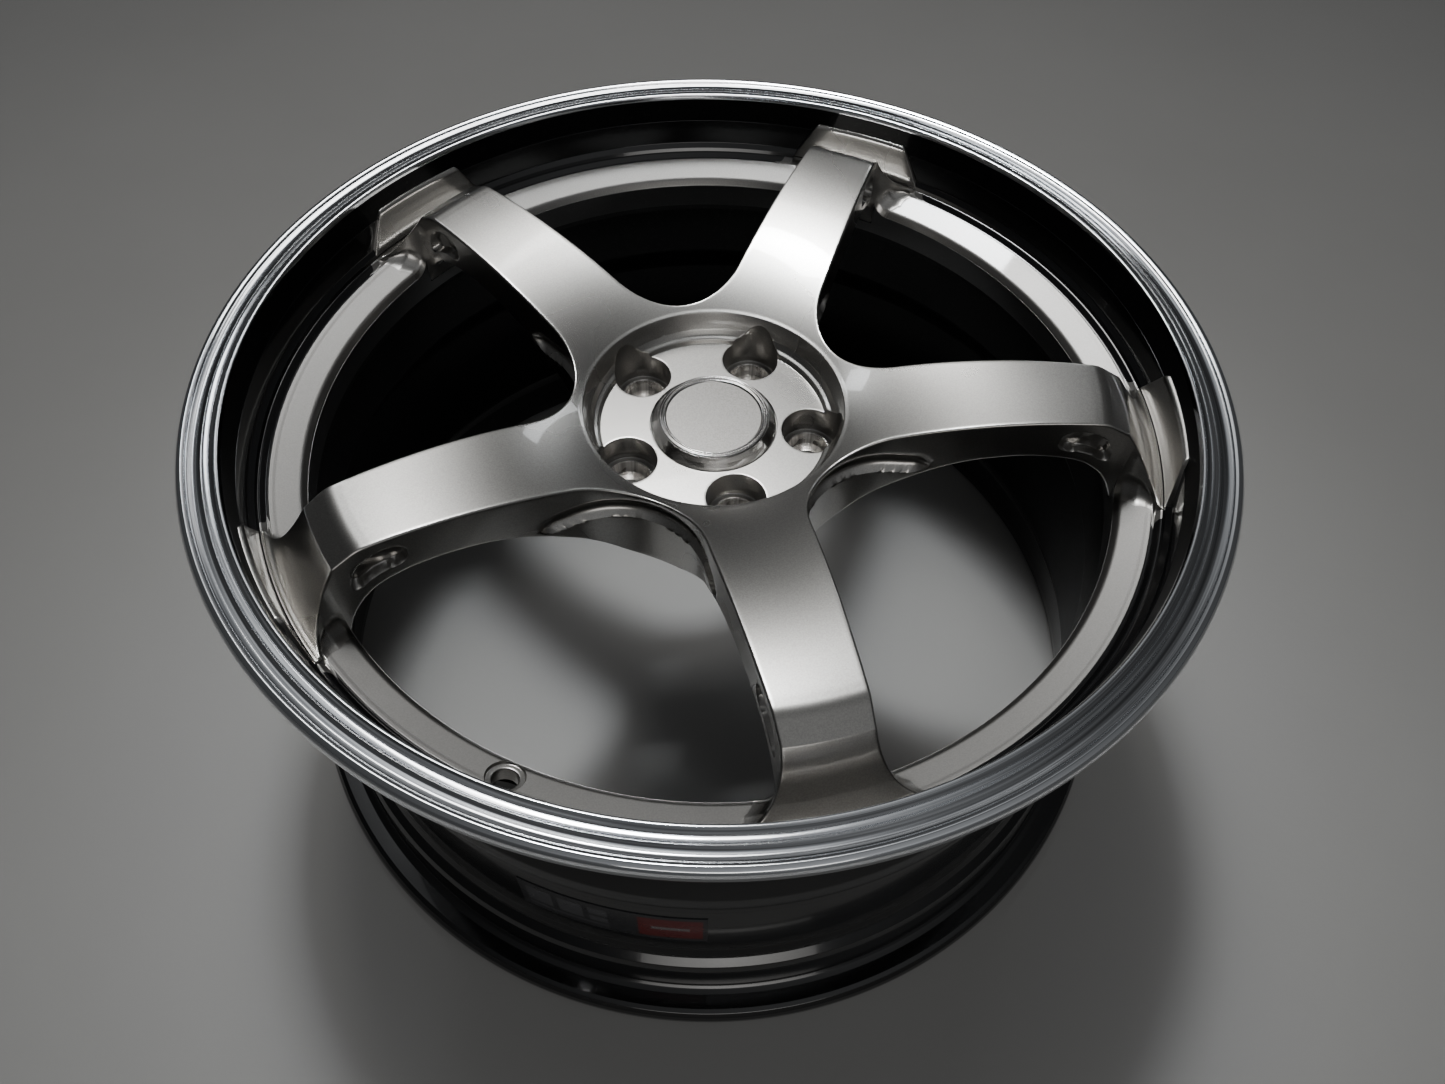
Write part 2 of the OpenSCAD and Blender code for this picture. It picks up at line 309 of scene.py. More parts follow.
def stations():
    """Places along the window edge at which every strip has a vertex."""
    by_valve = VALVE_AT[0] + VALVE_SINK * math.cos(VALVE_TILT) * np.cos(np.linspace(0, math.pi, 25))
    wanted = [s_at_radius(TOP_CURVE[(TOP_CURVE[:, 0] > 178), 0], EDGE),
              s_at_radius(RING_CURVE[RING_CURVE[:, 0] > RING_R - 0.01, 0], 0),
              s_at_radius(by_valve, 0)]
    s_end = float(s_at_radius(FOOT_END, EDGE))
    web_end = s_at_x(WEB_END_X)
    by_pocket = [float(s_at_radius(r, 0)) for r in (158, 200)]
    fill = [np.linspace(0, 1, 9) ** 2 * 6, np.arange(6, web_end + 30, 1.7),
            np.arange(web_end + 30, s_end, 2.4),
            np.arange(*by_pocket, 0.75),
            np.arange(float(s_at_radius(RIM_WALL_START, 0)), s_end, 0.6)]
    key = np.unique(np.round(np.concatenate([np.ravel(w) for w in wanted]), 4))
    key = key[(key > 0) & (key <= s_end + 1e-6)]
    kept = []
    for v in key:
        if not kept or v - kept[-1] > 0.06:
            kept.append(v)
    more = np.sort(np.concatenate(fill))
    more = more[(more >= 0) & (more < s_end)]
    for v in more:
        if np.min(np.abs(np.array(kept) - v)) > 0.42:
            kept.append(v)
    return np.array(sorted(set(kept + [0.0])))


# ---------------------------------------------------------------- the forged face
LUG_R = 50.0
LUG_AXIS = np.array([LUG_R, 0.0])
POCKET_R, POCKET_EDGE = 14.75, 0.35
POCKET_FLOOR, POCKET_CORNER = 22.4, 0.8
SHADOW_SLOT, BLACK_SLOT, RING_SHADE_SLOT = 1, 2, 3
SEAT_R, SEAT_LEDGE = 11.8, 10.0
HOLE_R, HOLE_EDGE = 7.5, 0.9
PAD_BOTTOM, PAD_TOP, PAD_LEAN = 34.4, 12.0, 3.3
WALL_LEVELS, FOOT_LEVELS = 44, 14
COLS = 18


def lift(xy, z):
    """Flat points raised to a height."""
    z = np.broadcast_to(np.asarray(z, float).reshape(-1, 1), (len(xy), 1))
    return np.concatenate([xy, z], 1)


def per_row(direction, grid):
    """One direction for each row of a grid, repeated over its columns."""
    return np.repeat(direction[:, None], grid.shape[1], 1)


def angle_of(q):
    return math.degrees(math.atan2(q[1], q[0]))


def around_lug(r, radius):
    """Angle at which a circle of that radius about the stud axis crosses radius r."""
    r = np.asarray(r, float)
    c = (r * r + LUG_R**2 - radius**2) / (2 * LUG_R * r)
    inside = (r > LUG_R - radius) & (r < LUG_R + radius)
    return np.where(inside, np.degrees(np.arccos(np.clip(c, -1, 1))), 0.0)


def rows_patch(rows, cols=COLS):
    """rows: radius, height, first angle, last angle."""
    rows = np.asarray(rows, float)
    t = np.linspace(0, 1, cols)
    a = rows[:, 2:3] + (rows[:, 3:4] - rows[:, 2:3]) * t
    return polar(rows[:, 0:1] + 0 * t, a, rows[:, 1:2] + 0 * t)


def corner_strip(start, corner, end, n=6):
    """A rounded strip from start to end that bends towards corner."""
    w = np.linspace(0, 1, n + 1)[None, :, None]
    start, corner, end = start[:, None], corner[:, None], end[:, None]
    pull = 0.5616
    c1, c2 = start + (corner - start) * pull, end + (corner - end) * pull
    return (1 - w) ** 3 * start + 3 * (1 - w) ** 2 * w * c1 + 3 * (1 - w) * w**2 * c2 + w**3 * end


def densify(points, step):
    """Extra points on the long sides of a profile."""
    p = np.asarray(points, float)
    out = [p[0]]
    for a, b in zip(p[:-1], p[1:]):
        n = max(1, int(math.ceil(np.linalg.norm(b - a) / step)))
        out += [a + (b - a) * k / n for k in range(1, n + 1)]
    return np.array(out)


class WindowEdge:
    """Half a window's outline and the round edge between the front and the side walls."""

    def __init__(self):
        self.s = stations()
        self.p, self.n = at_s(self.s)
        self.n3 = lift(self.n, 0)
        self.r = np.linalg.norm(self.p, axis=1)
        self.inner = self.p + EDGE * self.n
        self.inner_r = np.linalg.norm(self.inner, axis=1)
        self.inner_d = depth_of(TOP_CURVE, self.inner_r)
        self.start = lift(self.inner, TOP - self.inner_d)
        self.corner = lift(self.p, TOP - depth_of(TOP_CURVE, self.r))
        taper = np.clip((self.r - 214) / 9, 0, 1)
        self.end = self.corner - lift(0 * self.p, EDGE * (1 - taper) + 0.35 * taper)
        self.split = int(np.argmin(np.abs(self.r - RING_R)))
        self.foot_a = angle_of(self.p[-1])


def hub_profile():
    """The recess profile, with more points where it crosses a nut pocket."""
    wall = rounded(RECESS, 6)
    first, last = LUG_R - POCKET_R - POCKET_EDGE, LUG_R + POCKET_R + POCKET_EDGE
    more = [(first + v, RECESS[0][1]) for v in (0, 0.06, 0.25, 0.6, 1.2, 2)]
    for v in (0, 0.03, 0.1, 0.22, 0.4, 0.62):
        more.append((last - v, float(np.interp(last - v, wall[:, 0], wall[:, 1]))))
    merged = np.array(sorted([tuple(v) for v in densify(wall, 1.4)] + more))
    kept = [merged[0]]
    for v in merged[1:]:
        if np.linalg.norm(v - kept[-1]) > 0.02:
            kept.append(v)
    return np.array(kept)


def pad_profile(foot_a):
    """The pad's profile, the angle of its edge and the angle that the round of the edge takes."""
    pad = densify(rounded(PAD, 9), 1.6)[1:]
    pad = pad[pad[:, 0] < 228.2]
    rise = np.clip((PAD_BOTTOM - pad[:, 1]) / (PAD_BOTTOM - PAD_TOP), 0, 1)
    near_top = np.clip((rise - 0.9) / 0.1, 0, 1)
    angle = foot_a - PAD_LEAN * rise - 0.35 * (1 - np.sqrt(np.clip(1 - near_top**2, 0, 1)))
    return pad, angle, np.degrees(0.5 / pad[:, 0])


def add_front(half, edge, hub, pad, pad_a, pad_edge):
    """Recess, spoke top, drop face, valley and the pad on the rim wall."""
    between = np.linspace(hub[-1, 0], edge.inner_r[0], 5)[1:-1]
    first = around_lug(hub[:, 0], POCKET_R + POCKET_EDGE)
    rows = [(r, TOP - d, a, HALF) for (r, d), a in zip(hub, first)]
    rows += [(r, TOP - depth_of(TOP_CURVE, r), 0, HALF) for r in between]
    rows += [(r, TOP - d, 0, angle_of(q)) for r, d, q in zip(edge.inner_r, edge.inner_d, edge.inner)]
    rows += [(r, TOP - d, 0, a - e) for (r, d), a, e in zip(pad, pad_a, pad_edge)]
    half.grid(rows_patch(rows), (-0.2, 0, 1))


def add_nut_pocket(half, hub):
    """Rounded rim, wall and floor of a nut pocket, then the bore and the ledge under the seat."""
    reach = POCKET_R + POCKET_EDGE
    rim = hub[np.abs(hub[:, 0] - LUG_R) < reach + 1e-6]
    a = np.radians(around_lug(rim[:, 0], reach))
    rim_xy = np.stack([rim[:, 0] * np.cos(a), rim[:, 0] * np.sin(a)], -1)
    unit = (rim_xy - LUG_AXIS) / np.linalg.norm(rim_xy - LUG_AXIS, axis=1, keepdims=True)
    wall_xy = LUG_AXIS + unit * POCKET_R
    outward = lift(-unit, 0)
    corner = lift(wall_xy, TOP - depth_of(hub, np.linalg.norm(wall_xy, axis=1)))
    end = corner - (0, 0, POCKET_EDGE)
    strip = corner_strip(lift(rim_xy, TOP - rim[:, 1]), corner, end, 4)
    half.grid(strip, per_row(outward + (0, 0, 1), strip))

    foot = end * (1, 1, 0) + (0, 0, POCKET_FLOOR + POCKET_CORNER)
    wall = end[:, None] + (foot - end)[:, None] * np.linspace(0, 1, 9)[None, :, None]
    half.grid(wall, per_row(outward, wall))
    turn = np.linspace(0, 1, 5)[None, :, None] * math.pi / 2
    bend = foot[:, None] * (1, 1, 0) + outward[:, None] * POCKET_CORNER * (1 - np.cos(turn))
    bend = bend + np.array([0, 0, 1.0]) * (POCKET_FLOOR + POCKET_CORNER * (1 - np.sin(turn)))
    half.grid(bend, per_row(outward + (0, 0, 1), bend))

    flat_out, flat_in = bend[:, -1], lift(LUG_AXIS + unit * SEAT_R, POCKET_FLOOR)
    half.grid(np.stack([flat_out, (flat_out + flat_in) / 2, flat_in], 1), (0, 0, 1))
    bottom = flat_in * (1, 1, 0) + (0, 0, SEAT_LEDGE)
    bore = np.stack([flat_in, bottom], 1)
    half.grid(bore, per_row(outward, bore))
    ledge = lift(LUG_AXIS + unit * HOLE_R, SEAT_LEDGE)
    half.grid(np.stack([bottom, ledge], 1), (0, 0, 1))
    hole = np.stack([ledge, ledge * (1, 1, 0) + (0, 0, HOLE_EDGE)], 1)
    half.grid(hole, per_row(outward, hole))


def web_slot(s, depth):
    """How far the slot under the web edge cuts into the wall."""
    top, low = 27.5, 41.5
    reach = np.clip((s_at_x(SLOT_END_X) - s) / 8.0, 0, 1)
    round_end = np.sqrt(1 - (1 - reach) ** 2)
    mid = (low + 2.6 * top) / 3.6 + 4.5
    first, last = mid - (mid - top) * round_end, mid + (low - mid) * round_end
    tau = (depth - first) / np.maximum(last - first, 1e-3)
    shape = np.sqrt(np.clip(1 - ((tau - 0.62) / 0.38) ** 2, 0, 1))
    shape = np.where(tau < 0.62, smooth01(tau / 0.62), shape)
    return 4.4 * np.where((tau <= 0) | (tau >= 1), 0, shape) * round_end


def flank_pocket(p, depth):
    """How far the pocket near the knee cuts into the spoke's flank."""
    x = p[:, 0:1]
    centre = depth_of(TOP_CURVE, p[:, 0])[:, None] + 12.6 + 6.5 * np.clip((x - 176) / 18, 0, 1) ** 1.5
    distance = np.hypot(np.clip(np.abs(x - 180.5) - 6.6, 0, None), depth - centre)
    uneven = 0.5 * np.sin(x * 0.42 + depth * 0.35) * np.cos(depth * 0.3 - x * 0.2)
    return (4.3 + uneven) * smooth01((6.9 - distance) / 1.3)


def add_window_wall(half, edge):
    """The round edge all along the outline and the side wall as far as the window ring."""
    strip = corner_strip(edge.start, edge.corner, edge.end, 7)
    half.grid(strip, per_row(-edge.n3 + (0, 0, 1), strip))
    part = slice(0, edge.split + 1)
    p, n3, end = edge.p[part], edge.n3[part], edge.end[part]
    low = TOP - depth_of(BACK_CURVE, np.linalg.norm(p, axis=1)) + BACK_EDGE
    z = end[:, 2:3] + (low[:, None] - end[:, 2:3]) * np.linspace(0, 1, WALL_LEVELS)
    push = web_slot(edge.s[part][:, None], TOP - z) + flank_pocket(p, TOP - z)
    wall = np.concatenate([np.repeat(p[:, None], WALL_LEVELS, 1), z[..., None]], 2)
    wall = wall + n3[:, None] * push[..., None]
    half.grid(wall, per_row(-n3, wall))


def hub_back_profile():
    """The mounting face and its chamfer, with more points where a stud hole crosses it."""
    profile = [(37.0, 80.0), (37.6, TOP, 0.3), (65.2, TOP, 0.5), (66, TOP - 0.9, 0.5), (66, 77.0, 1.5),
               (69, float(depth_of(BACK_CURVE, 69)))]
    profile = [tuple(v) for v in densify(rounded(profile, 4), 1.5)]
    flat = [i for i, v in enumerate(profile) if abs(v[1] - TOP) < 1e-6]
    more = [(LUG_R + side * r, TOP) for side in (-1, 1) for r in (8.4, 8.3, 8.0)]
    return np.array(profile[:flat[0]] + sorted(profile[flat[0]:flat[-1] + 1] + more) + profile[flat[-1] + 1:])


def add_back(half, edge):
    """Lower edge of the side walls, back of the spokes, mounting face and stud holes."""
    part = slice(0, edge.split + 1)
    p, n, n3 = edge.p[part], edge.n[part], edge.n3[part]
    bottom = TOP - depth_of(BACK_CURVE, np.linalg.norm(p, axis=1))
    back = p + BACK_EDGE * n
    back_r = np.linalg.norm(back, axis=1)
    back_z = TOP - depth_of(BACK_CURVE, back_r)
    strip = corner_strip(lift(p, bottom + BACK_EDGE), lift(p, bottom), lift(back, back_z), 5)
    half.grid(strip, per_row(-n3 + (0, 0, -1), strip))

    hub = hub_back_profile()
    reach = HOLE_R + HOLE_EDGE
    on_face = np.abs(hub[:, 1] - TOP) < 1e-6
    hole_a = np.where(on_face, around_lug(hub[:, 0], reach), 0)
    between = np.linspace(hub[-1, 0], back_r[0], 3)[1:-1]
    rows = [(r, TOP - d, x, HALF) for (r, d), x in zip(hub, hole_a)]
    rows += [(r, TOP - depth_of(BACK_CURVE, r), 0, HALF) for r in between]
    rows += [(r, z, 0, angle_of(q)) for r, z, q in zip(back_r, back_z, back)]
    half.grid(rows_patch(rows), (0, 0, -1))

    picked = on_face & (np.abs(hub[:, 0] - LUG_R) < reach + 1e-6)
    r, a = hub[picked, 0], np.radians(hole_a[picked])
    face_xy = np.stack([r * np.cos(a), r * np.sin(a)], -1)
    unit = (face_xy - LUG_AXIS) / np.linalg.norm(face_xy - LUG_AXIS, axis=1, keepdims=True)
    hole = lift(LUG_AXIS + unit * HOLE_R, HOLE_EDGE)
    half.grid(np.stack([lift(face_xy, 0), hole], 1), (0, 0, -1))
    bore = np.stack([hole, hole + (0, 0, SEAT_LEDGE - HOLE_EDGE)], 1)
    half.grid(bore, per_row(lift(-unit, 0), bore))


def add_bore(half):
    """Centre bore, relief groove, cap bore and the cap's seat."""
    bore = [(37.0, 80.0)] + from_height([(36.55, 1), (36.55, 14), (37.45, 14.4, 0.3), (37.45, 19, 0.5),
                                         (30, 20, 0.6)])
    bore = rounded(bore + [(30, 45, 0.4), (33, 45, 0.3), (33, 43.4)], 3)
    inward = -polar(1.0, np.linspace(0, HALF, COLS), 0.0)
    half.grid(rows_patch([(r, TOP - d, 0, HALF) for r, d in bore]), np.repeat(inward[None], len(bore), 0))


def add_foot_wall(half, edge):
    """Side wall of a foot and the soft fillet's start on the ring: returns the ring's rows."""
    part = slice(edge.split, None)
    p, n3, end, r = edge.p[part], edge.n3[part], edge.end[part], edge.r[part]
    under = [(RING_R, TOP - d, 0, angle_of(p[0])) for d in (54, 57, RING_LOW)]
    half.grid(rows_patch(under), (-1, 0, 0), SHADOW_SLOT)
    ring_z = TOP - depth_of(RING_CURVE[RING_CURVE[:, 1] < 46.5], r)
    blend = np.clip(np.minimum(9.0, (end[:, 2] - ring_z) * 0.62), 0.15, None)
    z = end[:, 2:3] + ((ring_z + blend)[:, None] - end[:, 2:3]) * np.linspace(0, 1, FOOT_LEVELS)
    wall = np.concatenate([np.repeat(p[:, None], FOOT_LEVELS, 1), z[..., None]], 2)
    half.grid(wall, per_row(-n3, wall))
    theta = np.arctan2(p[:, 1], p[:, 0])
    tangent = np.stack([-np.sin(theta), np.cos(theta)], -1)
    lean = np.clip(-(n3[:, :2] * tangent).sum(1), 0.25, 1)
    turn = np.linspace(0, math.pi / 2, 9)
    fillet_a = np.degrees(theta[:, None] + blend[:, None] * (1 - np.cos(turn)) / lean[:, None] / r[:, None])
    return r, ring_z, fillet_a, blend[:, None] * (1 - np.sin(turn))


def add_ring(shell, r, ring_z, fillet_a, up, ends):
    """The window ring from a foot's fillet to the end angles, with its inner wall."""
    rest = np.linspace(0, 1, 22)[1:] ** 1.25
    last = fillet_a[:, -1:] + (ends[:, None] - fillet_a[:, -1:]) * rest
    a = np.concatenate([fillet_a, last], 1)
    z = np.concatenate([ring_z[:, None] + up, np.repeat(ring_z[:, None], last.shape[1], 1)], 1)
    grid = polar(np.repeat(r[:, None], a.shape[1], 1), a, z)
    column = np.arange(a.shape[1] - 1)[None]
    outer = ((r[:-1] + r[1:]) / 2 > 219.5)[:, None] & (column > 9)
    # past the foot's fillet the ring takes the darker satin copy as painted shade; the outer band past radius
    # 219.5 takes the gloss black paint
    shell.grid(grid, (0, 0, 1), np.where(outer, BLACK_SLOT, np.where(column > 7, RING_SHADE_SLOT, 0)))
    wall = [grid[0]] + [grid[0] * (1, 1, 0) + (0, 0, TOP - d) for d in (50, 55, RING_LOW)]
    shell.grid(np.array(wall), (-1, -0.3, 0), SHADOW_SLOT)
    return grid


def valve_gap(r):
    """Half the angle that the valve's counterbore takes from the ring at radius r."""
    on_slope = (r - VALVE_AT[0]) / math.cos(VALVE_TILT)
    return np.degrees(np.sqrt(np.clip(VALVE_SINK**2 - on_slope**2, 0, None)) / r)


def add_valve_hole(shell, ring, gap):
    """Valve hole with its light counterbore, on the middle line of one window."""
    first, last = np.flatnonzero(gap > 1e-9)[[0, -1]]
    rim = ring[first - 1:last + 2, -1]
    mid = math.radians(HALF)
    out_way = np.array([math.cos(mid), math.sin(mid), 0])
    side_way = np.array([-math.sin(mid), math.cos(mid), 0])
    up_way = -math.sin(VALVE_TILT) * out_way + math.cos(VALVE_TILT) * np.array([0, 0, 1.0])
    slope_way = np.cross(side_way, up_way)
    origin = out_way * VALVE_AT[0] + np.array([0, 0, TOP - VALVE_AT[1]])
    turn = np.arctan2((rim - origin) @ side_way, (rim - origin) @ slope_way)[:, None]
    unit = np.cos(turn) * slope_way + np.sin(turn) * side_way
    steps = [rim]
    for radius, height in ((8.3, -0.08), (8.2, -0.25), (8.15, -0.85), (8.0, -1.0), (6.3, -1.0), (5.9, -1.06),
                           (5.7, -1.2), (VALVE_R, -1.4), (VALVE_R, -7.4)):
        steps.append(origin + unit * radius + up_way * height)
    grid = np.stack(steps, 1)
    shell.grid(grid, per_row(up_way - unit, grid))


def add_pad_side(half, edge, pad, pad_a, pad_edge):
    """The pad's side, which runs back into the rim wall."""
    a = np.radians(pad_a)
    out = np.stack([np.cos(a), np.sin(a), 0 * a], -1)
    rim = polar(pad[:, 0], pad_a, TOP - pad[:, 1])
    strip = corner_strip(polar(pad[:, 0], pad_a - pad_edge, TOP - pad[:, 1]), rim, rim + out * 0.5, 5)
    strip = np.concatenate([strip, (rim + out * 4.2)[:, None]], 1)
    lead = corner_strip(edge.start[-1:], edge.corner[-1:], edge.end[-1:], 5)
    lead = np.concatenate([lead, (edge.end[-1:] + (0, 0, -1.5))[:, None]], 1)
    sideways = np.array([-math.sin(a[0]) - 0.3, math.cos(a[0]), 0])
    half.grid(np.concatenate([lead, strip], 0), sideways)


def forged_face():
    """The whole face: ten mirrored half windows, two of them beside the valve hole."""
    half, plain, holed = Shell(), Shell(), Shell()
    edge, hub = WindowEdge(), hub_profile()
    pad = pad_profile(edge.foot_a)
    add_front(half, edge, hub, *pad)
    add_nut_pocket(half, hub)
    add_window_wall(half, edge)
    add_back(half, edge)
    add_bore(half)
    r, *ring = add_foot_wall(half, edge)
    gap = valve_gap(r)
    add_ring(plain, r, *ring, HALF + 0 * r)
    add_valve_hole(holed, add_ring(holed, r, *ring, HALF - gap), gap)
    add_pad_side(half, edge, *pad)
    places = [(side, FIRST + STEP * i) for side in (1, -1) for i in range(5)]
    by_valve = [(-1, FIRST), (1, FIRST + 4 * STEP)]
    whole = Shell()
    whole.add(half, places)
    whole.add(plain, [v for v in places if v not in by_valve])
    whole.add(holed, by_valve)
    return whole.build("forged_face", 42)


def cut(obj, cutter):
    """Removes the cutter's solid from an object."""
    mod = obj.modifiers.new("cut", "BOOLEAN")
    mod.operation, mod.solver, mod.object = "DIFFERENCE", "EXACT", cutter
    bpy.context.view_layer.update()
    mesh = bpy.data.meshes.new_from_object(obj.evaluated_get(bpy.context.evaluated_depsgraph_get()))
    obj.modifiers.clear()
    obj.data = mesh
    bpy.data.objects.remove(cutter)
    shade(mesh, 38)


# ---------------------------------------------------------------- materials
def node(tree, kind, inputs=None, **props):
    """A shader node; an input is a value or the socket that feeds it."""
    made = tree.nodes.new(kind)
    for key, value in props.items():
        setattr(made, key, value)
    for key, value in (inputs or {}).items():
        if isinstance(value, bpy.types.NodeSocket):
            tree.links.new(value, made.inputs[key])
        else:
            made.inputs[key].default_value = value
    return made


class Paint:
    """A Principled material with procedural inputs in object coordinates (metres)."""

    def __init__(self, name, **sockets):
        self.mat = bpy.data.materials.new(name)
        self.mat.use_nodes = True
        self.tree = self.mat.node_tree
        self.bsdf = self.tree.nodes["Principled BSDF"]
        self.where = node(self.tree, "ShaderNodeTexCoord").outputs["Object"]
        for key, value in sockets.items():
            self.bsdf.inputs[key.replace("_", " ")].default_value = value

    def to(self, key, socket):
        self.tree.links.new(socket, self.bsdf.inputs[key])

    def noise(self, scale, detail=2.0, rough=0.5):
        return node(self.tree, "ShaderNodeTexNoise", {"Vector": self.where, "Scale": scale, "Detail": detail,
                                                      "Roughness": rough}).outputs["Fac"]

    def radius(self):
        flat = node(self.tree, "ShaderNodeVectorMath", {0: self.where, 1: (1, 1, 0)}, operation="MULTIPLY")
        length = node(self.tree, "ShaderNodeVectorMath", {0: flat.outputs[0]}, operation="LENGTH")
        return length.outputs["Value"]

    def part(self, axis):
        return node(self.tree, "ShaderNodeSeparateXYZ", {0: self.where}).outputs[axis]

    def rings(self, fine, slow, detail=2.0):
        """Noise drawn out along the circles round the wheel axis."""
        way = node(self.tree, "ShaderNodeVectorMath", {0: self.where}, operation="NORMALIZE").outputs[0]
        way = node(self.tree, "ShaderNodeSeparateXYZ", {0: way})
        spot = node(self.tree, "ShaderNodeCombineXYZ", {
            0: self.math("MULTIPLY", self.radius(), fine),
            1: self.math("MULTIPLY", way.outputs[0], slow),
            2: self.math("MULTIPLY", way.outputs[1], slow)}).outputs[0]
        made = node(self.tree, "ShaderNodeTexNoise", {"Vector": spot, "Scale": 1.0, "Detail": detail})
        return made.outputs["Fac"]

    def lines(self, along, scale, detail=3.0):
        return node(self.tree, "ShaderNodeTexNoise", {"W": along, "Scale": scale, "Detail": detail},
                    noise_dimensions="1D").outputs["Fac"]

    def math(self, operation, a, b=0.0):
        return node(self.tree, "ShaderNodeMath", {0: a, 1: b}, operation=operation).outputs[0]

    def span(self, value, low, high, out_low, out_high):
        return node(self.tree, "ShaderNodeMapRange", {"Value": value, "From Min": low, "From Max": high,
                                                      "To Min": out_low, "To Max": out_high}).outputs[0]

    def mix(self, factor, a, b):
        made = node(self.tree, "ShaderNodeMix", {"Factor": factor}, data_type="RGBA")
        for socket, value in ((made.inputs[6], a), (made.inputs[7], b)):
            if isinstance(value, bpy.types.NodeSocket):
                self.tree.links.new(value, socket)
            else:
                socket.default_value = (*value, 1)
        return made.outputs[2]

    def bump(self, height, strength, distance=0.0002, under=None):
        inputs = {"Height": height, "Strength": strength, "Distance": distance}
        if under is not None:
            inputs["Normal"] = under
        return node(self.tree, "ShaderNodeBump", inputs).outputs[0]


def satin(name, dark, light, rough, lathe=True):
    """Hyper silver paint: metal flake under a clear coat, with turning lines near the rim."""
    m = Paint(name, Metallic=1.0, Coat_Weight=1.0, Coat_Roughness=0.03, Coat_IOR=1.5)
    flakes = m.noise(1500, 1.0)
    cloud = m.noise(7, 2.0)
    tone = m.math("ADD", m.span(flakes, 0.3, 0.7, 0.25, 0.65), m.span(cloud, 0.3, 0.7, 0.0, 0.15))
    m.to("Base Color", m.mix(tone, dark, light))
    m.to("Roughness", m.span(m.noise(12, 2.0), 0.3, 0.7, rough - 0.015, rough + 0.015))
    normal = m.bump(m.noise(1100, 0.0), 0.006)
    if lathe:
        r = m.radius()
        band = m.math("MULTIPLY", m.span(r, 0.2165, 0.2185, 0.0, 1.0), m.span(r, 0.2242, 0.2262, 1.0, 0.15))
        sweep = m.math("SUBTRACT", r, m.math("MULTIPLY", m.part("Z"), 0.45))
        normal = m.bump(m.math("MULTIPLY", m.lines(sweep, 420, 2.0), band), 0.3, 0.0006, normal)
    m.to("Normal", normal)
    return m.mat


def polished(name, dull, bright, fine, strength, rough, crown=True):
    """Polished metal with the fine rings a lathe leaves; the two crowns of the lip get a painted highlight, a
    brighter bluish base colour for the light they reflect.
    """
    m = Paint(name, Metallic=1.0)
    streak, haze = m.rings(fine, 2.0), m.noise(24, 3.0)
    base = m.mix(m.span(streak, 0.35, 0.65, 0.0, 1.0), dull, bright)
    if crown:
        r = m.radius()
        # painted highlight: the two crowns are lifted to a bright bluish base colour
        crown_highlight_mask = m.math("MAXIMUM", m.span(r, 0.2431, 0.2436, 0.0, 1.0), m.span(r, 0.2312, 0.2308, 0.0, 1.0))
        base = m.mix(crown_highlight_mask, base, (0.88, 0.9, 0.93))
    m.to("Base Color", base)
    fine_rough = m.span(streak, 0.3, 0.7, rough, rough + 0.08)
    m.to("Roughness", m.math("ADD", fine_rough, m.span(haze, 0.35, 0.75, 0.0, 0.04)))
    m.to("Normal", m.bump(streak, strength, 0.0001))
    return m.mat


def gloss_black(name, level, rough, shine=0.5):
    """Black paint with a slight orange peel and a little dust."""
    m = Paint(name, Coat_Weight=1.2 * shine, Coat_Roughness=0.05, Specular_IOR_Level=shine)
    dust = m.span(m.noise(420, 5.0, 0.65), 0.56, 0.75, 0.0, 1.0)
    black = (level, level, level * 1.1)
    m.to("Base Color", m.mix(m.math("MULTIPLY", dust, 0.25), black, (0.045, 0.043, 0.04)))
    m.to("Roughness", m.span(m.noise(24, 4.0), 0.3, 0.7, rough, rough + 0.08))
    m.to("Normal", m.bump(m.noise(190, 2.0), 0.09, 0.0003))
    return m.mat


def bare(name):
    """Machined steel with turning marks, and painted highlights: lighter streaks down the wall in the base
    colour.
    """
    m = Paint(name, Metallic=1.0, Anisotropic=0.5)
    own = node(m.tree, "ShaderNodeTexCoord").outputs["Generated"]
    own = node(m.tree, "ShaderNodeSeparateXYZ", {0: own})
    turn = m.math("ARCTAN2", m.math("SUBTRACT", own.outputs[1], 0.5), m.math("SUBTRACT", own.outputs[0], 0.5))
    streak = m.lines(turn, 3.2, 2.0)
    # painted highlight: streaks lighter at some angles round the part, in the base colour
    m.to("Base Color", m.mix(m.span(streak, 0.36, 0.62, 0.0, 1.0), (0.5, 0.475, 0.455), (0.95, 0.93, 0.9)))
    m.to("Roughness", m.span(m.noise(160, 3.0), 0.3, 0.7, 0.24, 0.34))
    m.to("Normal", m.bump(m.lines(m.part("Z"), 700), 0.2, 0.0002))
    return m.mat


